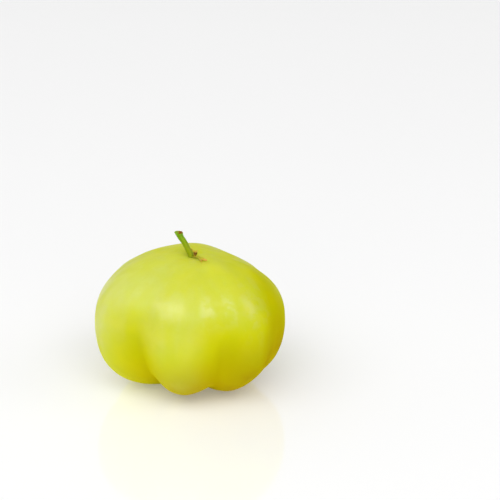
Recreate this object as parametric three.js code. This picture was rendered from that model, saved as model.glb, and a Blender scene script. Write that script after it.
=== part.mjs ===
// Star gooseberry: one ripe fruit as picked, with its short stalk and the dry sepals at its foot.
// Millimetres, +Z up. The fruit stands on the low ends of its lobes, and the origin lies on the
// table under the middle of its box. +X is to the right, and -Y is the side that shows best.

import * as THREE from "three";
import { mergeVertices } from "three/addons/utils/BufferGeometryUtils.js";

const { clamp, degToRad, euclideanModulo, lerp, radToDeg, smoothstep } = THREE.MathUtils;

// ---------------------------------------------------------------------------------------------
// Driving dimensions
// ---------------------------------------------------------------------------------------------

// The lobes, in order round the fruit. Each one begins at a crease.
//   from    bearing of that crease: degrees round the axis, anticlockwise from +X
//   crease  how deep that crease is, as a share of the usual depth
//   reach   how far the lobe stands out from the axis
//   top     height of its shoulder above the table
const LOBES = [
  { from: 13, crease: 1, reach: 9.4, top: 14.9 },
  { from: 63, crease: 0.8, reach: 12.1, top: 15.2 },
  { from: 117, crease: 0.8, reach: 10.4, top: 15.5 },
  { from: 174, crease: 1, reach: 11.9, top: 15.8 },
  { from: 236, crease: 1.5, reach: 11.5, top: 16.0 },
  { from: 288, crease: 0.9, reach: 12.2, top: 16.6 },
  { from: 331, crease: 0.4, reach: 10.9, top: 15.1 },
];
const HEART_HEIGHT = 8.25; // the point inside the fruit that all of its skin is measured from
const BASE_DEPTH = 8.55; // from the heart down to the base; what would pass the table is pressed flat
const UPPER_FULLNESS = 2.24; // how full the profile is: 2 is an ellipse, and more is squarer
const LOWER_FULLNESS = 2.47;
const LOBE_SPREAD = 6; // how quickly one lobe's reach and top give way to the next one's
const HUB = 0.8; // within this share of the way out, the lobes' sizes blend into their mean

// Creases are faint and soft on the shoulder, and deep and narrow towards the base. Depth is a
// share of the distance from the heart, and softness goes from 0, a sharp V, to 1, a wave.
const SHOULDER_CREASE = { depth: 0.015, softness: 0.6 };
const BASE_CREASE = { depth: 0.105, softness: 0.18 };
const CREASE_START = 0.6; // the sine of the height, seen from the heart, where creases start to grow
const CREASE_FULL = -0.3; // and where they reach their full depth
const CREASE_FADE = 0.6; // towards the stalk and the base they fade inside this share of the way out

// Hollows: the shallow pit that the stalk stands in, and the dimple round the old flower's scar.
// Right and back are the places of their middles, from the fruit's axis.
const STALK_PIT = { depth: 0.35, radius: 1.4, right: 0.2, back: -0.5 };
const BASE_DIMPLE = { depth: 0.7, radius: 2, right: 0, back: 0 };

const FRUIT_MERIDIANS = 72;
const FRUIT_PARALLELS = 42;

// The stalk stands in the pit, leans to the left, and ends in a flared, level cut.
const JOIN_GAP = 0.05; // clearance between pieces that grow on each other
const STALK_ROOT = { radius: 0.34, right: -0.04, back: -0.3 };
const STALK_PATH = [
  // from the root: right, back, up
  [0, 0, 0],
  [-0.17, 0, 0.38],
  [-0.49, 0.01, 1.1],
  [-0.83, 0.03, 1.76],
  [-1.17, 0.05, 2.28],
  [-1.42, 0.08, 2.84],
];
const STALK_RADII = [
  // share of the length, radius there
  [0, STALK_ROOT.radius],
  [0.15, 0.32],
  [0.5, 0.33],
  [0.8, 0.36],
  [1, 0.48],
];
const STALK_ROOT_PART = 0.12; // the share of the length over which the sections leave the level
const STALK_LEVEL_FROM = 0.75; // the share where they start to turn level again
const STALK_SIDES = 14;
const STALK_STEPS = 18;

// The dry sepals that are left round the stalk's foot.
//   bearing  degrees round the stalk's foot, at the root and at the tip
//   out      distance from the middle of the stalk's foot, at the root and at the tip
//   rise     height of the midrib over the skin, at the root, the middle and the tip
//   width    of the widest place
const SEPALS = {
  sepal_front: { bearing: [-58, -62], out: [0.5, 3.8], rise: [0.15, 0.2, 0.12], width: 0.62 },
  sepal_right: { bearing: [-34, -6], out: [0.56, 0.5], rise: [0.15, 0.5, 0.85], width: 0.45 },
  sepal_back: { bearing: [96, 100], out: [0.56, 1.35], rise: [0.15, 0.22, 0.13], width: 0.5 },
};
const SEPAL_THICKNESS = 0.12;
const SEPAL_TAPER = 0.5; // how much narrower the tip's half is than the root's
const SEPAL_SIDES = 10;
const SEPAL_STEPS = 12;

const MERGE_DISTANCE = 1e-5; // vertices nearer than this are one
const HEIGHT_STEPS = 8; // tries at the height of the skin over a place

const UP = new THREE.Vector3(0, 0, 1);
const HEART = new THREE.Vector3(0, 0, HEART_HEIGHT);

// ---------------------------------------------------------------------------------------------
// Finishes
// ---------------------------------------------------------------------------------------------

const finish = (color, roughness) => new THREE.MeshStandardMaterial({ color, roughness, metalness: 0 });

const SKIN = finish("#d3d640", 0.35);
const STALK_BARK = finish("#84a012", 0.6);
const DRY_SEPAL = finish("#b08a3c", 0.75);

// ---------------------------------------------------------------------------------------------
// The fruit's skin
// ---------------------------------------------------------------------------------------------

const lobeEnd = (index) => (index + 1 < LOBES.length ? LOBES[index + 1].from : LOBES[0].from + 360);
const lobeMiddle = (index) => (LOBES[index].from + lobeEnd(index)) / 2;
const mean = (key) => LOBES.reduce((sum, lobe) => sum + lobe[key], 0) / LOBES.length;
const MEAN_REACH = mean("reach");
const MEAN_TOP = mean("top");

// A size of the lobes, blended round the fruit: each lobe weighs most on its own middle.
function blended(key, bearing) {
  let sum = 0;
  let weights = 0;
  LOBES.forEach((lobe, index) => {
    const away = degToRad(bearing - lobeMiddle(index));
    const weight = Math.exp(LOBE_SPREAD * (Math.cos(away) - 1));
    sum += weight * lobe[key];
    weights += weight;
  });
  return sum / weights;
}

// How much of the distance from the heart the creases take away, in a direction.
function creaseDepth(direction, bearing, outness) {
  const turned = LOBES[0].from + euclideanModulo(bearing - LOBES[0].from, 360);
  const index = LOBES.findLastIndex((lobe) => lobe.from <= turned);
  const across = (turned - LOBES[index].from) / (lobeEnd(index) - LOBES[index].from);
  const lowness = smoothstep(-direction.z, -CREASE_START, -CREASE_FULL);
  const depth = lerp(SHOULDER_CREASE.depth, BASE_CREASE.depth, lowness);
  const softness = lerp(SHOULDER_CREASE.softness, BASE_CREASE.softness, lowness);
  const swell = Math.hypot(Math.sin(Math.PI * across), softness) - softness;
  const fold = 1 - swell / (Math.hypot(1, softness) - softness);
  const nextCrease = LOBES[(index + 1) % LOBES.length].crease;
  const share = lerp(LOBES[index].crease, nextCrease, (1 - Math.cos(Math.PI * across)) / 2);
  return depth * share * fold * smoothstep(outness, 0, CREASE_FADE);
}

function hollow({ depth, radius, right, back }, x, y) {
  return depth * Math.exp(-((x - right) ** 2 + (y - back) ** 2) / radius ** 2);
}

// The point of the rounded, lobed flesh that lies in a direction from the heart.
function fleshAt(direction) {
  const bearing = radToDeg(Math.atan2(direction.y, direction.x));
  const outness = Math.hypot(direction.x, direction.y);
  const upper = direction.z > 0;
  const hub = smoothstep(outness, 0, HUB);
  const reach = lerp(MEAN_REACH, blended("reach", bearing), hub);
  const top = lerp(MEAN_TOP, blended("top", bearing), hub);
  const tallness = upper ? top - HEART_HEIGHT : BASE_DEPTH;
  const fullness = upper ? UPPER_FULLNESS : LOWER_FULLNESS;
  const sum = (outness / reach) ** fullness + (Math.abs(direction.z) / tallness) ** fullness;
  const distance = sum ** (-1 / fullness) * (1 - creaseDepth(direction, bearing, outness));
  return direction.clone().multiplyScalar(distance).add(HEART);
}

// The same point of the finished skin: with the two hollows, and pressed flat on the table.
function skinAt(direction) {
  const point = fleshAt(direction);
  if (direction.z > 0) {
    point.z -= hollow(STALK_PIT, point.x, point.y);
  } else {
    point.z = Math.max(point.z + hollow(BASE_DIMPLE, point.x, point.y), 0);
  }
  return point;
}

// The point of the upper skin that lies at a distance and a bearing from the stalk's foot.
function upperSkin(bearing, out) {
  const turn = degToRad(bearing);
  const x = STALK_ROOT.right + out * Math.cos(turn);
  const y = STALK_ROOT.back + out * Math.sin(turn);
  let height = MEAN_TOP;
  for (let step = 0; step < HEIGHT_STEPS; step += 1) {
    height = fleshAt(new THREE.Vector3(x, y, height - HEART_HEIGHT).normalize()).z;
  }
  return new THREE.Vector3(x, y, height - hollow(STALK_PIT, x, y));
}

// ---------------------------------------------------------------------------------------------
// Building
// ---------------------------------------------------------------------------------------------

// Moves every vertex of a geometry, and joins the vertices that meet into one closed skin.
function reshape(geometry, move) {
  geometry.deleteAttribute("normal");
  geometry.deleteAttribute("uv");
  const places = geometry.getAttribute("position");
  for (let i = 0; i < places.count; i += 1) {
    const moved = move(new THREE.Vector3().fromBufferAttribute(places, i));
    places.setXYZ(i, moved.x, moved.y, moved.z);
  }
  const closed = mergeVertices(geometry, MERGE_DISTANCE);
  closed.computeVertexNormals();
  return closed;
}

function named(name, geometry, material) {
  const mesh = new THREE.Mesh(geometry, material);
  mesh.name = name;
  return mesh;
}

function buildFruit() {
  const globe = new THREE.SphereGeometry(1, FRUIT_MERIDIANS, FRUIT_PARALLELS);
  globe.rotateX(Math.PI / 2);
  return named("fruit", reshape(globe, (point) => skinAt(point.normalize())), SKIN);
}

// The value at a place in a list of [place, value] pairs, eased from each pair to the next.
function between(pairs, place) {
  const next = Math.max(1, pairs.findIndex(([at]) => at >= place));
  const [fromPlace, fromValue] = pairs[next - 1];
  const [toPlace, toValue] = pairs[next];
  return lerp(fromValue, toValue, smoothstep(place, fromPlace, toPlace));
}

// The lowest height at which a level disc on the stalk's place clears the skin.
function discHeight(radius) {
  const bearings = [0, 45, 90, 135, 180, 225, 270, 315];
  return Math.max(...bearings.map((bearing) => upperSkin(bearing, radius).z)) + JOIN_GAP;
}

function buildStem() {
  const root = new THREE.Vector3(STALK_ROOT.right, STALK_ROOT.back, discHeight(STALK_ROOT.radius));
  const path = new THREE.CatmullRomCurve3(
    STALK_PATH.map((place) => new THREE.Vector3(...place).add(root)),
  );
  const rod = new THREE.CylinderGeometry(1, 1, 1, STALK_SIDES, STALK_STEPS);
  const bent = reshape(rod, (point) => {
    const share = clamp(point.y + 0.5, 0, 1);
    const atRoot = 1 - smoothstep(share, 0, STALK_ROOT_PART);
    const atEnd = smoothstep(share, STALK_LEVEL_FROM, 1);
    const along = path.getTangentAt(share).lerp(UP, Math.max(atRoot, atEnd)).normalize();
    const across = new THREE.Vector3(0, 1, 0).cross(along).normalize();
    const back = across.clone().cross(along);
    const radius = between(STALK_RADII, share);
    return path
      .getPointAt(share)
      .addScaledVector(across, radius * point.x)
      .addScaledVector(back, radius * point.z);
  });
  return named("stem", bent, STALK_BARK);
}

// A sepal is a thin pointed leaf. Its midrib starts beside the stalk's foot and follows the skin,
// at a height over it that bends from the root's rise through the middle's to the tip's.
function buildSepal(name, { bearing, out, rise, width }) {
  const bend = 2 * rise[1] - (rise[0] + rise[2]) / 2;
  const midrib = (share) => {
    const point = upperSkin(lerp(...bearing, share), lerp(...out, share));
    const half = lerp(rise[0], bend, share);
    point.z += lerp(half, lerp(bend, rise[2], share), share);
    return point;
  };
  const rootTurn = degToRad(bearing[0]);
  const widthwise = new THREE.Vector3(-Math.sin(rootTurn), Math.cos(rootTurn), 0);
  const ball = new THREE.SphereGeometry(1, SEPAL_SIDES, SEPAL_STEPS);
  const leaf = reshape(ball, (point) => {
    const share = (1 - clamp(point.y, -1, 1)) / 2;
    const along = midrib(Math.min(share + 0.02, 1)).sub(midrib(Math.max(share - 0.02, 0))).normalize();
    const outOfLeaf = along.clone().cross(widthwise).normalize();
    const taper = 1 + SEPAL_TAPER * (0.25 - share);
    return midrib(share)
      .addScaledVector(widthwise, (width / 2) * taper * point.x)
      .addScaledVector(outOfLeaf, (SEPAL_THICKNESS / 2) * point.z);
  });
  return named(name, leaf, DRY_SEPAL);
}

const starGooseberry = new THREE.Group();
starGooseberry.add(buildFruit());
starGooseberry.add(buildStem());
for (const [name, sepal] of Object.entries(SEPALS)) {
  starGooseberry.add(buildSepal(name, sepal));
}

// The origin goes on the table, under the middle of the whole fruit's box.
const box = new THREE.Box3().setFromObject(starGooseberry);
const middle = box.getCenter(new THREE.Vector3());
starGooseberry.position.set(-middle.x, -middle.y, -box.min.z);

export default starGooseberry;
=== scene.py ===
# %% [markdown]
# # A star gooseberry
# This notebook dresses the solid model of one ripe star gooseberry. The solid holds every size and
# place: the lobed fruit, its stalk and three dry sepals. Here each of them is modelled again with a
# finer surface, in exactly the same place, and gets its colour, its wax and its wear.

# %% Load the solid model
import math

import bmesh
import bpy
import numpy as np
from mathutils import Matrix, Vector, noise


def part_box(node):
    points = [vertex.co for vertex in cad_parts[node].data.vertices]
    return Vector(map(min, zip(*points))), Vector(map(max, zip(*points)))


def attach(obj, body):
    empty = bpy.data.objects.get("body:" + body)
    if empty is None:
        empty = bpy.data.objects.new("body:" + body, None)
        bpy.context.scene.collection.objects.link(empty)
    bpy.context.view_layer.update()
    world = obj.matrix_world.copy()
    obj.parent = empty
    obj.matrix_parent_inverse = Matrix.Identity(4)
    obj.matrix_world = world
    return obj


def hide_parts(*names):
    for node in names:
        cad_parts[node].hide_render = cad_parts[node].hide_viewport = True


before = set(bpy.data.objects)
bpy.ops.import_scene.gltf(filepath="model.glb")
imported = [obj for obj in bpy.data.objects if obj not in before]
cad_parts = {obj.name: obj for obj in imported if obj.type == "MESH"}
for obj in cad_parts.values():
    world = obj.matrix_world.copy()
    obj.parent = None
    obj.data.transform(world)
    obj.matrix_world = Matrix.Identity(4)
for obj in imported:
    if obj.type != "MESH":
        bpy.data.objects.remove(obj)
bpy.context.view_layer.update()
MM = 0.001

# %% [markdown]
# ## The shape of the fruit
# A star gooseberry is a flattened berry of six to eight lobes. Every part of its skin can be seen
# from one point inside, its heart. So it needs no sculpting: one formula gives the whole shape, as
# the distance from the heart to the skin in each direction. It starts with the lobes. Each fills
# the span between two creases, and has its own reach to the side and its own height.

# %% The lobes, in millimetres and degrees
LOBE_FROM = np.array([13, 63, 117, 174, 236, 288, 331], float)
LOBE_REACH = np.array([9.4, 12.1, 10.4, 11.9, 11.5, 12.2, 10.9])
LOBE_TOP = np.array([14.9, 15.2, 15.5, 15.8, 16.0, 16.6, 15.1])
LOBE_ENDS = np.append(LOBE_FROM, LOBE_FROM[0] + 360)
LOBE_SPREAD = 6
HUB = 0.8


def ease(value, start, end):
    """0 before start, 1 after end, and a smooth climb between them."""
    share = np.clip((value - start) / (end - start), 0, 1)
    return share * share * (3 - 2 * share)


def blend(start, end, share):
    return start + (end - start) * share


def lobe_size(sizes, direction, outness):
    """A size of the lobes, blended round the fruit and towards its axis."""
    middles = np.radians((LOBE_ENDS[:-1] + LOBE_ENDS[1:]) / 2)
    bearing = np.arctan2(direction[:, 1], direction[:, 0])
    weights = np.exp(LOBE_SPREAD * (np.cos(bearing[:, None] - middles) - 1))
    around = (weights * sizes).sum(1) / weights.sum(1)
    return blend(sizes.mean(), around, ease(outness, 0, HUB))


print(len(LOBE_FROM), "lobes that reach", LOBE_REACH.min(), "to", LOBE_REACH.max(), "mm from the heart")

# %% [markdown]
# A crease is a fold of the skin between two lobes. It runs from the stalk down to the base, faint
# on the shoulders and sharp and deep below the fruit's waist. Here a crease is a share taken off
# the distance from the heart. Across a lobe that share follows an arch: a soft one above, and one
# with a narrow foot below, which is what makes the lower lobes look pinched.

# %% The creases
LOBE_CREASE = np.array([1, 0.8, 0.8, 1, 1.5, 0.9, 0.4])
CREASE_DEPTH = (0.015, 0.105)
CREASE_SOFTNESS = (0.6, 0.18)
CREASE_START, CREASE_FULL, CREASE_FADE = 0.6, -0.3, 0.6


def creases(direction, outness):
    """(share of the distance that the creases take, how deep in a crease each direction lies)."""
    bearing = np.degrees(np.arctan2(direction[:, 1], direction[:, 0]))
    turned = LOBE_ENDS[0] + np.mod(bearing - LOBE_ENDS[0], 360)
    lobe = np.clip(np.searchsorted(LOBE_ENDS, turned, side="right") - 1, 0, len(LOBE_FROM) - 1)
    across = (turned - LOBE_ENDS[lobe]) / (LOBE_ENDS[lobe + 1] - LOBE_ENDS[lobe])
    lowness = ease(-direction[:, 2], -CREASE_START, -CREASE_FULL)
    softness = blend(*CREASE_SOFTNESS, lowness)
    swell = np.hypot(np.sin(np.pi * across), softness) - softness
    fold = 1 - swell / (np.hypot(1, softness) - softness)
    following = LOBE_CREASE[(lobe + 1) % len(LOBE_CREASE)]
    share = blend(LOBE_CREASE[lobe], following, (1 - np.cos(np.pi * across)) / 2)
    depth = blend(*CREASE_DEPTH, lowness) * share * ease(outness, 0, CREASE_FADE)
    return depth * fold, fold * ease(outness, 0, CREASE_FADE)


print("creases take up to", round(CREASE_DEPTH[1] * LOBE_CREASE.max() * 100), "% off the distance")

# %% [markdown]
# A superellipse gives the profile from stalk to base: an ellipse whose exponent is a little over 2,
# so that the shoulders are fuller than a ball's. Then come a shallow pit for the stalk and a dimple
# under the base. The lobes' undersides end flat on the table, because a ripe fruit's soft lobes
# give a little under its weight.

# %% The whole skin
HEART_HEIGHT = 8.25
BASE_DEPTH = 8.55
UPPER_FULLNESS, LOWER_FULLNESS = 2.24, 2.47
STALK_PIT = dict(depth=0.35, radius=1.4, right=0.2, back=-0.5)
BASE_DIMPLE = dict(depth=0.7, radius=2, right=0, back=0)


def flesh(direction):
    """Points of the lobed flesh, in millimetres from the table, for unit directions."""
    outness = np.hypot(direction[:, 0], direction[:, 1])
    upper = direction[:, 2] > 0
    reach = lobe_size(LOBE_REACH, direction, outness)
    top = lobe_size(LOBE_TOP, direction, outness)
    tallness = np.where(upper, top - HEART_HEIGHT, BASE_DEPTH)
    fullness = np.where(upper, UPPER_FULLNESS, LOWER_FULLNESS)
    total = (outness / reach) ** fullness + (np.abs(direction[:, 2]) / tallness) ** fullness
    distance = total ** (-1 / fullness) * (1 - creases(direction, outness)[0])
    return direction * distance[:, None] + (0, 0, HEART_HEIGHT)


def hollow(points, depth, radius, right, back):
    """How far down a round hollow goes at each point."""
    away = (points[:, 0] - right) ** 2 + (points[:, 1] - back) ** 2
    return depth * np.exp(-away / radius ** 2)


def skin(direction):
    """The finished skin: the flesh with the stalk's pit and the base's dimple, flat on the table."""
    points = flesh(direction)
    pitted = points[:, 2] - hollow(points, **STALK_PIT)
    dimpled = points[:, 2] + hollow(points, **BASE_DIMPLE)
    points[:, 2] = np.where(direction[:, 2] > 0, pitted, np.maximum(dimpled, 0))
    return points


print("heart", HEART_HEIGHT, "mm over the table, stalk's pit", STALK_PIT["depth"], "mm deep")

# %% [markdown]
# A globe with many meridians and parallels is the mesh to start from: each of its vertices becomes
# one direction, and later goes out to the skin. The solid's origin is under the middle of its box,
# and the fruit's own axis stands a little off that. The middle of the skin and the middle of the
# solid's box give the step from one to the other.

# %% Find the fruit's axis in the frame
FRUIT_MERIDIANS, FRUIT_PARALLELS = 320, 180
STALK_FOOT = (-0.04, -0.3)
fruit_low, fruit_high = (Vector(corner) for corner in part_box("fruit"))


def sphere_mesh(around, up):
    """A bmesh globe of radius 1, with its poles on Z."""
    globe = bmesh.new()
    bmesh.ops.create_uvsphere(globe, u_segments=around, v_segments=up, radius=1.0)
    return globe


globe = sphere_mesh(FRUIT_MERIDIANS, FRUIT_PARALLELS)
globe_directions = np.array([vertex.co for vertex in globe.verts])
globe_directions /= np.linalg.norm(globe_directions, axis=1)[:, None]
skin_points = skin(globe_directions)
own_middle = (skin_points.min(0) + skin_points.max(0)) / 2
AXIS = (fruit_low + fruit_high) / 2 - Vector(own_middle) * MM
AXIS.z = 0
FOOT = AXIS + Vector((*STALK_FOOT, 0)) * MM
print("fruit's axis, mm from the origin:", [round(value / MM, 3) for value in AXIS])

# %% [markdown]
# ## Where the camera stands
# The fruit is small, and a lens held close would swell its nearest lobe. A long lens from a quarter
# of a metre keeps the round outline true. The camera looks down a little, so that the pit and the
# stalk show. It aims above and to the right of the fruit, which leaves the fruit low on the left.

# %% Camera
CAMERA_DISTANCE = 260 * MM
CAMERA_HEIGHT_ANGLE = math.radians(21.1)
AIM_RIGHT = 6.73 * MM
AIM_UP = 7.41 * MM
FRAME_WIDTH_THERE = 58.14 * MM
SENSOR_WIDTH = 36.0
NEAREST_SEEN = 10 * MM
MIDDLE_HEIGHT = 8 * MM
FRUIT_MIDDLE = AXIS + Vector((0, 0, MIDDLE_HEIGHT))


def make_camera(aim_from):
    """A camera on the -Y side that holds the point aim_from low and left in its frame."""
    data = bpy.data.cameras.new("studio_camera")
    data.sensor_width = SENSOR_WIDTH
    data.lens = SENSOR_WIDTH * CAMERA_DISTANCE / FRAME_WIDTH_THERE
    data.clip_start = NEAREST_SEEN
    forward = Vector((0, math.cos(CAMERA_HEIGHT_ANGLE), -math.sin(CAMERA_HEIGHT_ANGLE)))
    right = Vector((1, 0, 0))
    up = right.cross(forward)
    camera = bpy.data.objects.new("studio_camera", data)
    camera.location = aim_from + right * AIM_RIGHT + up * AIM_UP - forward * CAMERA_DISTANCE
    camera.rotation_euler = (math.radians(90) - CAMERA_HEIGHT_ANGLE, 0, 0)
    bpy.context.scene.collection.objects.link(camera)
    bpy.context.scene.camera = camera
    return camera


camera = make_camera(FRUIT_MIDDLE)
print("lens", round(camera.data.lens), "mm, aimed from", [round(value / MM) for value in camera.location])

# %% [markdown]
# ## Shader arithmetic
# A finish is worked out from a few masks: how deep in a crease a place lies, how near the stalk,
# how high. Written as nodes, such sums take a page of links. A small class that wraps one socket
# lets them be written as plain arithmetic, and every operator adds its own Math node. It is meant
# for numbers: a colour sent through a Math node would come out grey, so colours go through mix.

# %% Sockets that can be added and multiplied
class Value:
    """A value in a finish, which may vary over the surface."""

    def __init__(self, finish, socket):
        self.finish = finish
        self.socket = socket

    def math(self, operation, first, second):
        settings = {"operation": operation}
        return self.finish.node("ShaderNodeMath", settings, {0: first, 1: second})

    def __add__(self, other):
        return self.math("ADD", self, other)

    def __radd__(self, other):
        return self.math("ADD", other, self)

    def __sub__(self, other):
        return self.math("SUBTRACT", self, other)

    def __rsub__(self, other):
        return self.math("SUBTRACT", other, self)

    def __mul__(self, other):
        return self.math("MULTIPLY", self, other)

    def __rmul__(self, other):
        return self.math("MULTIPLY", other, self)

    def between(self, start, end):
        """0 where this is below start, 1 above end, and a smooth climb between them."""
        settings = {"interpolation_type": "SMOOTHSTEP"}
        inputs = {"Value": self, "From Min": start, "From Max": end}
        return self.finish.node("ShaderNodeMapRange", settings, inputs)


print("a Value knows", [name for name in vars(Value) if not name.startswith("__")])

# %% [markdown]
# A finish is one material with one Principled surface. Its node method adds any node there is: the
# settings first, because they decide which sockets the node has, and then a value or a link for
# each socket. Colours are written as a colour chart writes them and turned into linear light.

# %% A finish and its nodes
class Finish:
    """A material with one Principled surface."""

    def __init__(self, name):
        self.material = bpy.data.materials.new(name)
        self.material.use_nodes = True
        self.tree = self.material.node_tree
        self.surface = self.tree.nodes["Principled BSDF"]

    def node(self, kind, settings, inputs, output=0):
        """Adds a node, and gives back one of its outputs."""
        node = self.tree.nodes.new(kind)
        for key, value in settings.items():
            setattr(node, key, value)
        for key, value in inputs.items():
            self.feed(node.inputs[key], value)
        return Value(self, node.outputs[output])

    def feed(self, socket, value):
        """Gives a socket a value, or links it to the socket that works the value out."""
        if isinstance(value, Value):
            self.tree.links.new(value.socket, socket)
        elif socket.type == "RGBA":
            socket.default_value = (*value, 1)
        else:
            socket.default_value = value

    def mix(self, share, first, second):
        """A colour part of the way from first to second."""
        return self.node("ShaderNodeMix", {"data_type": "RGBA"}, {0: share, 6: first, 7: second}, 2)

    def place(self):
        """The place on the object, in millimetres."""
        metres = self.node("ShaderNodeTexCoord", {}, {}, "Object")
        return self.node("ShaderNodeVectorMath", {"operation": "SCALE"}, {0: metres, "Scale": 1 / MM})

    def noise(self, where, scale, detail):
        return self.node("ShaderNodeTexNoise", {}, {"Vector": where, "Scale": scale, "Detail": detail})

    def own(self, name, output="Fac"):
        """A value that was marked on the piece's own vertices."""
        return self.node("ShaderNodeAttribute", {"attribute_name": name}, {}, output)

    def bump(self, height, strength, distance):
        inputs = {"Height": height, "Strength": strength, "Distance": distance}
        self.set(normal=self.node("ShaderNodeBump", {}, inputs))

    def set(self, **inputs):
        """Feeds the Principled surface's sockets: base_color is its Base Color."""
        for key, value in inputs.items():
            title = key.replace("_", " ").title().replace("Ior", "IOR")
            self.feed(self.surface.inputs[title], value)


def paint(code):
    """A colour chart's code, such as d3d640, as the linear light that shaders mix."""
    parts = [int(code[i:i + 2], 16) / 255 for i in (0, 2, 4)]
    return tuple(p / 12.92 if p <= 0.04045 else ((p + 0.055) / 1.055) ** 2.4 for p in parts)


print("the skin's green in linear light:", [round(part, 3) for part in paint("c6cc00")])

# %% [markdown]
# ## From mesh to piece
# Every piece is finished the same way. Marks, which are values such as how deep in a crease a
# vertex lies, are kept on the mesh's vertices under a name, and the finish reads them by that name.
# A mark follows its vertex, so it can't slide over the piece as a projected pattern can. The mesh
# holds its place by itself, and its object stays at the origin.

# %% Marks and finished pieces
def mark(mesh, **marks):
    """Keeps named values on a bmesh, one for each vertex."""
    for name, values in marks.items():
        layers = mesh.verts.layers.float_vector if np.ndim(values) > 1 else mesh.verts.layers.float
        layer = layers.new(name)
        for vertex, value in zip(mesh.verts, values):
            vertex[layer] = value


def finished_piece(name, source, finish, replaced):
    """Turns a bmesh into a smooth piece of the object that rides on the root body."""
    mesh = bpy.data.meshes.new(name)
    source.to_mesh(mesh)
    source.free()
    mesh.materials.append(finish.material)
    mesh.polygons.foreach_set("use_smooth", [True] * len(mesh.polygons))
    piece = bpy.data.objects.new(name, mesh)
    bpy.context.scene.collection.objects.link(piece)
    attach(piece, "root")
    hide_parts(replaced)
    print(name, "has", len(mesh.polygons), "faces, all", finish.material.name)
    return piece


# %% [markdown]
# ## How golden the skin is, and where its shade is painted
# The fruit is a cool yellow-green above. It turns golden and darker at the base, partly its own
# colour and partly painted shade, and on its right side a painted ochre shade runs down to the base.
# Painting that by hand would fit one view only. A few easy rules on which way the skin faces and how
# high it lies give a change that goes all the way round the fruit, with no edge anywhere.

# %% Golden colour and painted shade
# A way is x, y, z. Its edge says how squarely the skin faces it where a change starts, and where
# the change is full. Heights are in millimetres from the table.
RIGHT, LEFT = (1.0, 0.0, 0.0), (-1.0, 0.0, 0.0)
# Painted shade: the right side is coloured a darker ochre, fading towards the back.
OCHRE_SHADE_EDGE = (0.66, 0.84)
OCHRE_SHADE_FADE_BACK, OCHRE_SHADE_LOSS = (-0.5, 0.25), 0.8
# The gold climbs higher towards the front right and beside the right side, where it is painted shade.
WARM_WAY, WARM_EDGE = (0.65, -0.76, 0.0), (-0.4, 0.9)
BESIDE_WAY, BESIDE_EDGE = (0.75, -0.66, 0.0), (0.8, 0.92)
GOLD_TOP, HIGHER_IF_WARM, HIGHER_BESIDE = 5, 3.5, 3.2
FULL_GOLD_TOP = 1.5
LEAST_GOLD = 0.4
# How golden the painted ochre shade makes the right side, with more of it low down.
OCHRE_SHADE_GOLD, LOW_OCHRE_SHADE_GOLD, LOW_OCHRE_SHADE_HEIGHTS = 0.3, 0.4, (7, 13)


def facing(direction, way, start, end):
    """1 where the skin faces a way, given as x, y, z, and 0 where it faces well away from it."""
    return ease(direction @ np.array(way), start, end)


def below(height, start, end):
    """1 below start, 0 above end, and a smooth fall between them."""
    return 1 - ease(height, start, end)


def ochre_shade_side(direction):
    """1 on the right side, where an ochre shade is painted, fading towards the back."""
    return facing(direction, RIGHT, *OCHRE_SHADE_EDGE) * (1 - OCHRE_SHADE_LOSS * ease(direction[:, 1], *OCHRE_SHADE_FADE_BACK))


def gold_share(direction, height, side):
    """How golden and dark the skin is, partly painted shade: at the base, higher up towards the front right
    and beside the right side, and on that side.
    """
    warm = facing(direction, WARM_WAY, *WARM_EDGE)
    beside = facing(direction, BESIDE_WAY, *BESIDE_EDGE) * (1 - side)
    top = GOLD_TOP + HIGHER_IF_WARM * warm + HIGHER_BESIDE * beside
    # Golden and darker low down: partly the base's own colour, partly painted shade.
    base = below(height, FULL_GOLD_TOP * warm, top) * blend(LEAST_GOLD, 1, warm)
    # Painted shade: the ochre of the right side.
    ochre_shade = side * (OCHRE_SHADE_GOLD + LOW_OCHRE_SHADE_GOLD * below(height, *LOW_OCHRE_SHADE_HEIGHTS))
    return np.clip(base + ochre_shade, 0, 1)


skin_heights = skin_points[:, 2]
side = ochre_shade_side(globe_directions)
gold = gold_share(globe_directions, skin_heights, side)
print("golden over half:", round(100 * float((gold > 0.5).mean())), "% of the globe's places")

# %% [markdown]
# ## Milk, painted sheen and wax
# Two more things lie over the colour. The first is a milky tint: partly the flesh, which is milky
# just under the skin, and partly painted sheen and shade. It makes the shoulders paler than the
# creases and the base, where it is painted shade. It is palest on the left, a painted highlight,
# and almost clear on the right side and on the shaded lobe next to it, a painted shade. The tint may
# go past 1, where there is more of it than on a plain shoulder.

# %% Milk and painted sheen
SHADED_WAY, SHADED_EDGE, SHADED_HEIGHTS = (0.85, -0.5, 0.0), (0.45, 0.8), (9, 11.5)
CREASE_HEIGHTS, CREASE_SHADE_MILK_LOSS, SHADED_MILK_LOSS = (9, 13), 0.8, 0.9
MILK_AND_SHEEN_HEIGHTS = (6, 13)
# Low down there is a little milk everywhere, more of it on the lobes' crests as a painted sheen,
# and more on the left as a painted highlight. Each has the heights over which it sets in.
LOW_MILK, LOW_MILK_HEIGHTS = 0.1, (0.5, 2.5)
CREST_PAINTED_SHEEN, CREST_PAINTED_SHEEN_HEIGHTS = 0.3, (0.5, 4)
LEFT_PAINTED_SHEEN, LEFT_PAINTED_SHEEN_HEIGHTS, LEFT_PAINTED_SHEEN_EDGE = 0.25, (0.5, 3), (0.55, 0.9)
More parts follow.
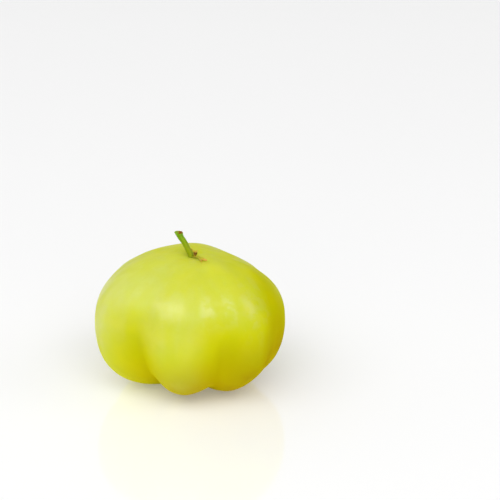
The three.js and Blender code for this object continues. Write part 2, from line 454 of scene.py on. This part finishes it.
# The left shoulder and the crown's front have more of the tint, a painted highlight, and the right
# has less, a painted shade: for each the way there, its edge, and the change.
PAINTED_LIGHT_PATCHES = (
    ((-0.7, -0.3, 0.6), (0.7, 0.95), 0.6),
    ((-0.2, -0.65, 0.73), (0.85, 0.97), 0.22),
    (RIGHT, (0.38, 0.6), -0.45),
)
RIGHT_SHADE_EDGE, RIGHT_SHADE_FADE_BACK, RIGHT_SHADE_LOSS = (0.58, 0.76), (0, 0.4), 0.8
CROWN_HEIGHTS, CROWN_LOSS = (13.5, 15.3), 0.35


def low_milk(direction, height, fold):
    """How milky the lower half of the fruit looks, with painted sheen on the crests and the left."""
    everywhere = LOW_MILK * ease(height, *LOW_MILK_HEIGHTS)
    on_lobes = CREST_PAINTED_SHEEN * (1 - fold) ** 1.5 * ease(height, *CREST_PAINTED_SHEEN_HEIGHTS)
    on_left = LEFT_PAINTED_SHEEN * facing(direction, LEFT, *LEFT_PAINTED_SHEEN_EDGE) * ease(height, *LEFT_PAINTED_SHEEN_HEIGHTS)
    return everywhere + on_lobes + on_left


def milkiness(direction, height, fold, side, shaded):
    """How milky the skin looks, partly painted sheen and shade: little in the creases and at the base, most
    on the shoulders.
    """
    milk = blend(low_milk(direction, height, fold), 1, ease(height, *MILK_AND_SHEEN_HEIGHTS))
    # Painted shade: less of the tint in the lower creases, on the right side and on the shaded lobe.
    milk *= 1 - CREASE_SHADE_MILK_LOSS * fold * below(height, *CREASE_HEIGHTS)
    milk *= (1 - side) * (1 - SHADED_MILK_LOSS * shaded)
    for way, edge, more in PAINTED_LIGHT_PATCHES:
        milk *= 1 + more * facing(direction, way, *edge)
    # Painted shade: the right side is nearly clear of the tint.
    right_shade = facing(direction, RIGHT, *RIGHT_SHADE_EDGE) * below(direction[:, 1], *RIGHT_SHADE_FADE_BACK)
    return milk * (1 - RIGHT_SHADE_LOSS * right_shade) * (1 - CROWN_LOSS * ease(height, *CROWN_HEIGHTS))


globe_fold = creases(globe_directions, np.hypot(globe_directions[:, 0], globe_directions[:, 1]))[1]
shaded = facing(globe_directions, SHADED_WAY, *SHADED_EDGE) * below(skin_heights, *SHADED_HEIGHTS)
milk = milkiness(globe_directions, skin_heights, globe_fold, side, shaded)
print("milk from", round(float(milk.min()), 2), "to", round(float(milk.max()), 2))

# %% [markdown]
# On the skin is a bloom of wax. It mirrors the light softly, and it is rubbed off in places, so its
# shine comes in patches that run from the stalk downwards. The patches are a noise read in the
# skin's own grain, which is stretched along the meridians. One lobe has been handled more than the
# others, and its wax is scuffed.

# %% Wax and grain
BLOOM_HEIGHTS = (5, 11)
BLOOM_FADE, BLOOM_FADE_LOSS = (12.5, 15), 0.85
CREASE_BLOOM_LOSS, SHADED_BLOOM_LOSS = 0.75, 0.8
LEFT_BLOOM, LEFT_BLOOM_HEIGHTS, LEFT_BLOOM_EDGE = 0.5, (1, 5), (0.75, 0.95)
RUBBED_WAY, RUBBED_EDGE, LEAST_RUBBED = (0.55, -0.75, 0.35), (0.84, 0.95), 0.25
GRAIN_AROUND, GRAIN_DOWN = 9.0, 1.2
FILM_SCALE = 0.75
FILM_PLACE = Vector((17.68, 58.56, 25.04))
FILM_EDGE = (-0.35, 0.3)


def bloom_share(direction, height, fold, side, shaded):
    """How much wax is left: a belt under the shoulders, less in the creases, more on the left."""
    bloom = ease(height, *BLOOM_HEIGHTS) * (1 - BLOOM_FADE_LOSS * ease(height, *BLOOM_FADE))
    bloom *= (1 - side) * (1 - SHADED_BLOOM_LOSS * shaded)
    bloom *= 1 - CREASE_BLOOM_LOSS * fold * below(height, *CREASE_HEIGHTS)
    bloom += LEFT_BLOOM * facing(direction, LEFT, *LEFT_BLOOM_EDGE) * ease(height, *LEFT_BLOOM_HEIGHTS)
    return np.clip(bloom, 0, 1)


def rubbed_share(direction):
    """How scuffed the wax is: a little everywhere, and most on the lobe right of the middle."""
    return blend(LEAST_RUBBED, 1, facing(direction, RUBBED_WAY, *RUBBED_EDGE))


def grain(direction):
    """Where a place lies in a pattern of streaks that run from the stalk to the base."""
    bearing = np.arctan2(direction[:, 1], direction[:, 0])
    steepness = np.arccos(np.clip(direction[:, 2], -1, 1))
    across = GRAIN_AROUND * np.sin(steepness)
    return np.stack([across * np.cos(bearing), across * np.sin(bearing), GRAIN_DOWN * steepness], 1)


bloom = bloom_share(globe_directions, skin_heights, globe_fold, side, shaded)
rubbed = rubbed_share(globe_directions)
globe_grain = grain(globe_directions)
film_noise = [noise.noise(Vector(place) * FILM_SCALE + FILM_PLACE) for place in globe_grain]
film = ease(np.array(film_noise), *FILM_EDGE)
print("wax over half:", round(100 * float((bloom * film > 0.5).mean())), "% of the globe's places")

# %% [markdown]
# ## The old flower's scar
# In the dimple underneath, where the flower sat, the skin is rough and pinkish brown, with one dark
# spot where its style broke off. Both are rounds whose rims are made ragged by a noise. At the
# other end, the pit round the stalk is a shade greener.

# %% Scar, spot and pit
SCAR_RIM, SCAR_RAGGEDNESS = (1.3, 2.7), 1.2
SPOT_RIM, SPOT_RAGGEDNESS = (0.2, 0.5), 0.3
SPOT_PLACE = (0.5, -0.3)
RAGGED_SCALE = 1.1
PIT_RADIUS = 1.6

underneath = globe_directions[:, 2] < 0
ragged = np.array([noise.noise(Vector(point) * RAGGED_SCALE) for point in skin_points])
from_middle = np.hypot(skin_points[:, 0], skin_points[:, 1])
scar = below(from_middle + SCAR_RAGGEDNESS * ragged, *SCAR_RIM) * underneath
from_spot = np.hypot(skin_points[:, 0] - SPOT_PLACE[0], skin_points[:, 1] - SPOT_PLACE[1])
spot = below(from_spot + SPOT_RAGGEDNESS * ragged, *SPOT_RIM) * underneath
pit = hollow(skin_points, 1.0, PIT_RADIUS, *STALK_FOOT) * ~underneath
scar_width = np.ptp(skin_points[scar > 0.5, 0])
print("scar", round(float(scar_width), 1), "mm across")

# %% [markdown]
# ## Skin
# The flesh is half clear, so light goes in, turns deeper yellow on its way and comes out again.
# That is subsurface scattering, with a long way for red and green light and a short one for blue,
# and it does most of the work here. The shine is kept apart from it: the surface itself mirrors
# nothing, and the wax is a coat on top, whose weight can change from place to place. A rough coat
# of a high index gives the broad, soft patches that wax has, where a varnish would give sharp dots.
# Where the wax is rubbed, a finer noise takes small scuffs out of it.

# %% Skin finish
# The golds are darker than the greens: partly the base's own colour, partly painted shade.
GREENS = (paint("c6cc00"), paint("ced000"))
GOLDS_AND_SHADE = (paint("a89400"), paint("a08600"))
# The milky tint is partly painted sheen, and the crease ochre is painted shade.
MILKY_SHEEN, CREASE_SHADE_OCHRE, PIT_GREEN = paint("d0d862"), paint("bfac00"), paint("b4c420")
RUSTS, SPOT_BROWN = (paint("c08a62"), paint("96603c")), paint("7a3214")
STREAK_SCALE, CLOUD_SCALE, SPECK_SCALE, SCUFF_SCALE = 1.1, 0.3, 3.2, 0.9
# How much wax there is where no bloom is left, where its film is rubbed off, and what a film adds.
LEAST_WAX, BARE_WAX, FILM_WAX = 0.02, 0.17, 0.62


def skin_finish():
    finish = Finish("gooseberry_skin")
    where = finish.place()
    gold, milk, fold, pit, scar, spot = (
        finish.own(name) for name in ("gold", "milk", "fold", "pit", "scar", "spot"))
    bloom, film, rubbed = (finish.own(name) for name in ("bloom", "film", "rubbed"))
    streaks = finish.noise(finish.own("grain", "Vector"), STREAK_SCALE, 3.0)
    clouds = finish.noise(where, CLOUD_SCALE, 2.0).between(0.35, 0.65)
    specks = finish.noise(where, SPECK_SCALE, 2.0)
    scuffs = finish.noise(where, SCUFF_SCALE, 3.0).between(0.43, 0.57) * rubbed
    wax = bloom * (BARE_WAX + FILM_WAX * film) * (1.08 + 0.22 * rubbed - scuffs)

    # Golden and darker towards the base and the right: partly its own colour, partly painted shade.
    colour = finish.mix(gold, finish.mix(clouds, *GREENS), finish.mix(clouds, *GOLDS_AND_SHADE))
    # A pale milky tint: partly the flesh, partly painted sheen on the shoulders, the crests and the left.
    colour = finish.mix(milk * (0.5 + 0.15 * streaks.between(0.4, 0.7)), colour, MILKY_SHEEN)
    # Painted shade: the lower creases are darkened towards ochre.
    colour = finish.mix(fold * 0.5, colour, CREASE_SHADE_OCHRE)
    colour = finish.mix(pit * 0.15, colour, PIT_GREEN)
    rust = finish.mix(specks.between(0.4, 0.6), *RUSTS)
    colour = finish.mix(scar * (0.5 + 0.5 * specks.between(0.35, 0.6)), colour, rust)
    finish.set(
        base_color=finish.mix(spot, colour, SPOT_BROWN),
        roughness=0.5 + 0.3 * scar,
        specular_ior_level=0.0,
        ior=1.45,
        coat_weight=(1 - scar) * (LEAST_WAX + wax),
        coat_roughness=0.3,
        coat_ior=1.85,
        subsurface_weight=0.9,
        subsurface_radius=(1.0, 0.85, 0.12),
        subsurface_scale=2.2 * MM,
    )
    finish.bump(0.5 * streaks + 0.5 * specks + 1.5 * scar * specks, 0.15, 0.1 * MM)
    return finish


berry_finish = skin_finish()
print("skin finish has", len(berry_finish.tree.nodes), "nodes")

# %% [markdown]
# ## The fruit
# The globe that found the axis becomes the fruit: each vertex goes out to the skin. A slow noise of
# a few hundredths of a millimetre takes the machine-made evenness off it. It dies out towards the
# table, so that the flat spots stay flat.

# %% Fruit
WAVE_HEIGHT, WAVES_SET_IN = 0.1, (0, 1.5)
LONG_WAVE, SHORT_WAVE = 2.6, 1.7
SHORT_WAVE_SHARE = 0.4
LOWER_CREASES = (-0.4, 0.4)


def make_fruit():
    waves = np.array([noise.noise(Vector(place) / LONG_WAVE) for place in globe_grain])
    waves += SHORT_WAVE_SHARE * np.array([noise.noise(Vector(point) / SHORT_WAVE) for point in skin_points])
    waves *= WAVE_HEIGHT * ease(skin_heights, *WAVES_SET_IN)
    places = (skin_points + globe_directions * waves[:, None]) * MM + np.array(AXIS)
    for vertex, place in zip(globe.verts, places):
        vertex.co = place
    lower_fold = globe_fold * ease(-globe_directions[:, 2], *LOWER_CREASES)
    mark(globe, gold=gold, milk=milk, fold=lower_fold, bloom=bloom, film=film, rubbed=rubbed)
    mark(globe, pit=pit, scar=scar, spot=spot, grain=globe_grain)
    return finished_piece("berry", globe, berry_finish, "fruit")


berry = make_fruit()
print("berry, mm:", [round(value / MM, 2) for value in berry.dimensions])

# %% [markdown]
# ## The stalk
# The stalk is a thin green stem that leans to the left, a little thicker at the fruit, and flared
# at the end where it let go of the branch. A curve object with a bevel could draw it, but would
# keep one round section. Instead a globe is drawn out into a rod: its parallels become rings along
# a smooth curve, and each ring takes its own radius. The last rings are pushed into the cut end.

# %% The stalk's curve, in millimetres
STALK_PATH = np.array([
    (0, 0, 0), (-0.17, 0, 0.38), (-0.49, 0.01, 1.1),
    (-0.83, 0.03, 1.76), (-1.17, 0.05, 2.28), (-1.42, 0.08, 2.84),
])
STALK_SUNK = 0.3
ROOT_END = 0.12
FLARE_START = 0.75
NEARBY = 0.01


def curve_point(points, share):
    """A place on a smooth curve through the points, by a Catmull-Rom blend of four of them."""
    last = len(points) - 1
    index = min(int(share * last), last - 1)
    t = share * last - index
    first = points[max(index - 1, 0)]
    second = points[index]
    third = points[index + 1]
    fourth = points[min(index + 2, last)]
    bend = 2 * first - 5 * second + 4 * third - fourth
    twist = 3 * second - first - 3 * third + fourth
    return Vector(second + 0.5 * t * (third - first + t * (bend + t * twist)))


def rise_to(share, start, end):
    """The same climb as ease, for one number."""
    return float(ease(share, start, end))


def stalk_axes(share):
    """The stalk's middle at a share of its length, and two ways across it. Its ends are level."""
    before = curve_point(STALK_PATH, max(share - NEARBY, 0))
    after = curve_point(STALK_PATH, min(share + NEARBY, 1))
    level = max(1 - rise_to(share, 0, ROOT_END), rise_to(share, FLARE_START, 1))
    along = (after - before).normalized().lerp(Vector((0, 0, 1)), level).normalized()
    across = Vector((0, 1, 0)).cross(along).normalized()
    return curve_point(STALK_PATH, share), across, along.cross(across)


print("stalk rises", STALK_PATH[-1][2], "mm and leans", -STALK_PATH[-1][0], "mm to the left")

# %% [markdown]
# Its colour goes from a yellowish green at the fruit to a fresh leaf green. Fibres show as faint
# ribs that are a little paler. The cut end has dried to a reddish brown, on one side more than on
# the other, and isn't glossy any more.

# %% Stalk finish
STALK_GREENS = (paint("9aa808"), paint("6da60a"))
MOTTLED_GREEN, RIB_GREEN = paint("86960c"), paint("a9b93c")
CUT_BROWNS = (paint("7a3f08"), paint("9a6a1c"))


def stalk_finish():
    finish = Finish("green_stalk")
    along, cut, fibres = (finish.own(name) for name in ("along", "cut", "fibres"))
    mottle = finish.noise(finish.place(), 2.0, 3.0)
    green = finish.mix(along.between(0.25, 1.0), *STALK_GREENS)
    green = finish.mix(mottle.between(0.45, 0.65) * 0.5, green, MOTTLED_GREEN)
    green = finish.mix(fibres * 0.25, green, RIB_GREEN)
    dry = finish.mix(mottle.between(0.4, 0.6), *CUT_BROWNS)
    finish.set(
        base_color=finish.mix(cut, green, dry),
        roughness=0.45 + 0.35 * cut,
        specular_ior_level=0.2,
        subsurface_weight=0.3,
        subsurface_radius=(1.0, 1.0, 0.3),
        subsurface_scale=0.4 * MM,
    )
    finish.bump(mottle, 0.3, 0.04 * MM)
    return finish


stem_finish = stalk_finish()
print("stalk finish has", len(stem_finish.tree.nodes), "nodes")

# %% [markdown]
# The tables below say what each ring of the rod is. A ring has a place from 0, the middle of the
# root, to 1, the middle of the end. The tables give its place along the stalk, its share of the
# stalk's radius there, and how far it is pushed in at the end, in millimetres.

# %% Stalk
STALK_SIDES, STALK_RINGS = 64, 120
STALK_RADII = ((0, 0.34), (0.15, 0.32), (0.5, 0.33), (0.8, 0.36), (1, 0.48))
RING_ALONG = ((0, 0), (0.05, 0), (0.8, 1), (1, 1))
RING_WIDTH = ((0, 0), (0.05, 1), (0.8, 1), (0.84, 0.93), (0.9, 0.72), (1, 0))
RING_PUSH = ((0, 0), (0.8, 0), (0.82, -0.03), (0.9, 0.06), (1, 0.08))
END_RINGS = 0.8
END_ROUGHNESS, END_ROUGH_SCALE, END_ROUGH_LEVEL = 0.05, 5, 7.0
CUT_RINGS, CUT_SIDE, CUT_RAGGEDNESS = (0.77, 0.81), (-0.4, 0.3), 0.6
RIBS, RIB_TURN, RIB_SIZE = 6, 1.5, 0.03
LUMPS_AROUND, LUMPS_ALONG, LUMP_SIZE = 3, 9, 0.05
stem_low = Vector(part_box("stem")[0])


def read_table(table, place):
    """The value at a place in a table of (place, value) pairs, by straight lines."""
    return float(np.interp(place, *zip(*table)))


def eased_value(table, place):
    """The value at a place in a table of (place, value) pairs, eased from each pair to the next."""
    for (start, first), (end, second) in zip(table, table[1:]):
        if place <= end:
            return blend(first, second, rise_to(place, start, end))
    return table[-1][1]


def stalk_vertex(ring, angle):
    """(place, place along the stalk, how dry and cut, how much on a rib) of one vertex of the rod."""
    share = read_table(RING_ALONG, ring)
    middle, across, back = stalk_axes(share)
    cosine, sine = math.cos(angle), math.sin(angle)
    rib = math.cos(RIBS * angle + RIB_TURN * share)
    lump = noise.noise(Vector((LUMPS_AROUND * cosine, LUMPS_AROUND * sine, LUMPS_ALONG * share)))
    relief = 1 + RIB_SIZE * rib + LUMP_SIZE * lump
    radius = eased_value(STALK_RADII, share) * relief * read_table(RING_WIDTH, ring)
    place = middle + radius * (cosine * across + sine * back)
    if ring > END_RINGS:
        rough = Vector((END_ROUGH_SCALE * place.x, END_ROUGH_SCALE * place.y, END_ROUGH_LEVEL))
        place.z += END_ROUGHNESS * noise.noise(rough)
    place.z -= read_table(RING_PUSH, ring)
    place.z += stem_low.z / MM - STALK_SUNK * (1 - rise_to(share, 0, ROOT_END))
    cut = rise_to(ring, *CUT_RINGS) * rise_to(cosine + CUT_RAGGEDNESS * lump, *CUT_SIDE)
    return place * MM + FOOT, share, cut, 0.5 + 0.5 * rib


def make_stalk():
    rod = sphere_mesh(STALK_SIDES, STALK_RINGS)
    marks = []
    for vertex in rod.verts:
        ring = math.acos(max(-1, min(1, -vertex.co.z))) / math.pi
        angle = math.atan2(vertex.co.y, vertex.co.x)
        vertex.co, *of_vertex = stalk_vertex(ring, angle)
        marks.append(of_vertex)
    mark(rod, **dict(zip(("along", "cut", "fibres"), zip(*marks))))
    bmesh.ops.recalc_face_normals(rod, faces=rod.faces)
    return finished_piece("stalk", rod, stem_finish, "stem")


stalk = make_stalk()
print("stalk, mm:", [round(value / MM, 2) for value in stalk.dimensions])

# %% [markdown]
# ## Sepals
# The flower's sepals stay on the fruit and dry up there. Each is a small leaf with a keel along its
# middle and edges that curl. The front one lies on the skin and ends in a fork that has rolled up.
# The right one has withered to a dark, upright scrap, and a short one is left behind the stalk. A
# leaf can only lie on the skin if it knows how high the skin is, so that is asked of the formula.

# %% The sepals, in millimetres and degrees
SEPALS = {
    "front": dict(
        bearing=(-58, -65), out=(0.5, 3.7), rise=(0.15, 0.2, 0.12), width=0.62,
        fork=0.74, spread=0.5, curl=0.2, twist=0, waist=0.5, broadest=0.85,
        tip_from=0.62, colours=("a89c1e", "c0be24", "e4ac44")),
    "right": dict(
        bearing=(-34, -6), out=(0.56, 0.5), rise=(0.15, 0.5, 0.85), width=0.45,
        fork=0.72, spread=0.4, curl=-0.05, twist=-60, waist=0.8, broadest=0.3,
        tip_from=0.45, colours=("8a6410", "644000", "d8b440")),
    "back": dict(
        bearing=(96, 100), out=(0.56, 1.35), rise=(0.15, 0.22, 0.13), width=0.5,
        fork=0.9, spread=0.2, curl=0.1, twist=0, waist=0.55, broadest=0.4,
        tip_from=0.6, colours=("a89c1e", "a08428", "c49a44")),
}
HEIGHT_ROUNDS = 8


def skin_height(x, y):
    """Height of the upper skin over one place, in millimetres from the fruit's axis."""
    height = LOBE_TOP.mean()
    for _ in range(HEIGHT_ROUNDS):
        towards = np.array([[x, y, height - HEART_HEIGHT]])
        height = flesh(towards / np.linalg.norm(towards))[0, 2]
    return height - hollow(np.array([[x, y, height]]), **STALK_PIT)[0]


print("skin at the stalk's foot is", round(float(skin_height(*STALK_FOOT)), 2), "mm over the table")

# %% [markdown]
# A sepal is greenish where it still draws sap, and goes through straw to brown at its tip. Its rim
# is thin, so it looks lighter, and the keel along its middle is darker. A noise mottles it.

# %% Sepal finish
RIM_STRAW, KEEL_BROWN, MOTTLE_BROWN = paint("d8b450"), paint("8a6414"), paint("8a5c10")


def sepal_finish(name, tip_from, colours):
    finish = Finish(f"dry_sepal_{name}")
    along, edge, vein = (finish.own(key) for key in ("along", "edge", "vein"))
    mottle = finish.noise(finish.place(), 4.5, 2.0)
    foot, middle, tip = (paint(colour) for colour in colours)
    colour = finish.mix(along.between(0.1, 0.35), foot, middle)
    colour = finish.mix(along.between(tip_from, tip_from + 0.2), colour, tip)
    colour = finish.mix(edge * 0.2, colour, RIM_STRAW)
    colour = finish.mix(vein * 0.25, colour, KEEL_BROWN)
    finish.set(
        base_color=finish.mix(mottle.between(0.5, 0.7) * 0.3, colour, MOTTLE_BROWN),
        roughness=0.7,
        specular_ior_level=0.3,
        subsurface_weight=0.3,
        subsurface_radius=(1.0, 0.7, 0.2),
        subsurface_scale=0.3 * MM,
    )
    finish.bump(mottle, 0.4, 0.03 * MM)
    return finish


print("sepals' colours, foot to tip:", {name: sizes["colours"] for name, sizes in SEPALS.items()})

# %% [markdown]
# A flat grid is bent into each sepal: along it runs outward from the stalk, and across it gets its
# keel and its raised edges. The fork is cut by taking out the faces between its prongs, which keeps
# the rest of the grid whole, and the rows beyond the cut are then drawn apart. Solidify gives the
# leaf its body last, when its shape is done.

# %% Sepals
LEAF_ALONG, LEAF_ACROSS = 44, 20
LEAF_THICKNESS = 0.05 * MM
NOTCH, PRONG_LOSS = 0.2, 0.8
EDGE_RISE, KEEL_RISE, KEEL_WIDTH, VEIN_WIDTH = 0.1, 0.05, 0.2, 0.15
CURL_START, TWIST_END, BROADENS_OVER = 0.7, 0.5, 0.4
SHRIVEL, WRINKLES_ALONG, WRINKLES_ACROSS = 0.07, 5, 2


def leaf_grid(fork):
    """A flat leaf, 1 long and 1 wide, with the gap of its fork taken out."""
    leaf = bmesh.new()
    bmesh.ops.create_grid(leaf, x_segments=LEAF_ALONG, y_segments=LEAF_ACROSS, size=0.5)
    middles = [(face, face.calc_center_median()) for face in leaf.faces]
    gap = [face for face, middle in middles if middle.x + 0.5 > fork and abs(middle.y) * 2 < NOTCH]
    bmesh.ops.delete(leaf, geom=gap, context="FACES")
    return leaf


def prong_place(across, apart, spread):
    """Where a place across the leaf goes, in half widths, once its two prongs stand apart."""
    if apart == 0:
        return across
    within = 2 * abs(across) - 1
    return math.copysign(0.5 + spread * apart + 0.5 * within * (1 - PRONG_LOSS * apart), across)


def leaf_rise(share, across, rise, curl, variety):
    """How far a place on the leaf stands off the skin: its arch, its curl, its keel, its folds."""
    foot, middle, tip = rise
    bend = 2 * middle - (foot + tip) / 2
    arch = blend(blend(foot, bend, share), blend(bend, tip, share), share)
    rolled = curl * rise_to(share, CURL_START, 1) ** 1.5
    keel = KEEL_RISE * math.exp(-(across / KEEL_WIDTH) ** 2)
    shrivel = SHRIVEL * noise.noise(Vector((WRINKLES_ALONG * share, WRINKLES_ACROSS * across, variety)))
    return arch + rolled + EDGE_RISE * across * across + keel + shrivel


def make_sepal(name, bearing, out, rise, width, fork, spread, curl, twist, waist, broadest, **look):
    leaf = leaf_grid(fork)
    marks = []
    for vertex in leaf.verts:
        share, across = vertex.co.x + 0.5, vertex.co.y * 2
        apart = rise_to(share, fork, 1)
        here = math.radians(blend(*bearing, share))
        x = STALK_FOOT[0] + blend(*out, share) * math.cos(here)
        y = STALK_FOOT[1] + blend(*out, share) * math.sin(here)
        height = skin_height(x, y) + leaf_rise(share, across, rise, curl, variety=3 * out[1])
        turn = math.radians(bearing[0] + twist * rise_to(share, 0, TWIST_END))
        half = width / 2 * blend(waist, 1, rise_to(share, broadest - BROADENS_OVER, broadest))
        sideways = Vector((-math.sin(turn), math.cos(turn), 0)) * prong_place(across, apart, spread) * half
        vertex.co = (Vector((x, y, height)) + sideways) * MM + AXIS
        marks.append((share, abs(across) ** 3, math.exp(-(across / VEIN_WIDTH) ** 2) * (1 - apart)))
    mark(leaf, **dict(zip(("along", "edge", "vein"), zip(*marks))))
    bmesh.ops.recalc_face_normals(leaf, faces=leaf.faces)
    bmesh.ops.solidify(leaf, geom=leaf.faces, thickness=LEAF_THICKNESS)
    return finished_piece(f"sepal_leaf_{name}", leaf, sepal_finish(name, **look), f"sepal_{name}")


for sepal_name, sizes in SEPALS.items():
    make_sepal(sepal_name, **sizes)

# %% [markdown]
# ## Table
# The fruit stands on a glossy white table top, which shows a faint image of it upside down and lets
# its shadow fade away softly. A real table is lit by the whole white room, far more than a few
# lamps give, so this one glows a little by itself. The glow also lights the lobes from below.

# %% Table
TABLE_REACH = 1.5
TABLE_WHITE = (0.94, 0.94, 0.94)
TABLE_GLOW = 0.19


def table_finish():
    finish = Finish("white_table")
    finish.set(
        base_color=TABLE_WHITE,
        roughness=0.08,
        ior=2.3,
        emission_color=(1, 1, 1),
        emission_strength=TABLE_GLOW,
    )
    return finish


def make_table():
    source = bmesh.new()
    bmesh.ops.create_grid(source, x_segments=1, y_segments=1, size=TABLE_REACH)
    mesh = bpy.data.meshes.new("table_top")
    source.to_mesh(mesh)
    source.free()
    mesh.materials.append(table_finish().material)
    table = bpy.data.objects.new("table_top", mesh)
    bpy.context.scene.collection.objects.link(table)
    return table


table = make_table()
print("table is", round(table.dimensions.x, 1), "m wide")

# %% [markdown]
# ## Light
# The room is white all round, which is the world's plain light. One broad bank hangs in front and
# above, and the wax mirrors it as the pale patches under the shoulders. A sheet lower down fills
# the lobes. It isn't mirrored, because a second row of patches would make the skin look wet. Weaker
# boxes at the left, the right and the back keep the other sides from going flat.

# %% Light
LIGHT_DISTANCE = 1.5
ROOM_LIGHT = 0.22


def make_light(name, bearing, height, size, brightness, shines=True):
    """A soft box that looks at the fruit; its bearing is counted from the camera's side.

    Brightness 1 makes a white sheet that faces the box from the fruit's place come out white.
    """
    turn, rise = math.radians(bearing), math.radians(height)
    across = math.cos(rise)
    towards = Vector((math.sin(turn) * across, -math.cos(turn) * across, math.sin(rise)))
    data = bpy.data.lights.new(name, "AREA")
    data.shape = "RECTANGLE"
    data.size, data.size_y = size
    data.energy = brightness * (math.pi * LIGHT_DISTANCE) ** 2
    light = bpy.data.objects.new(name, data)
    light.location = FRUIT_MIDDLE + towards * LIGHT_DISTANCE
    light.rotation_euler = towards.to_track_quat("Z", "Y").to_euler()
    light.visible_glossy = shines
    bpy.context.scene.collection.objects.link(light)
    return light


def make_room():
    room = bpy.data.worlds.new("white_studio")
    room.use_nodes = True
    background = room.node_tree.nodes["Background"]
    background.inputs["Color"].default_value = (1, 1, 1, 1)
    background.inputs["Strength"].default_value = ROOM_LIGHT
    bpy.context.scene.world = room


make_room()
lights = [
    make_light("front_bank", -14, 57, (2.75, 1.25), 0.84),
    make_light("front_sheet", 0, 30, (1.5, 1.5), 0.4, shines=False),
    make_light("left_box", -120, 26, (2.4, 1.8), 0.24),
    make_light("right_box", 80, 35, (0.75, 0.9), 0.12),
    make_light("back_box", 180, 30, (1.25, 1.25), 0.05),
]
bpy.context.scene.view_settings.view_transform = "Standard"
print("lights, W:", {light.name: round(light.data.energy, 1) for light in lights})

# %% [markdown]
# ## The box
# The dressed fruit is built to fill the same box as the solid, apart from the skin's waviness and the
# sepals' curls.
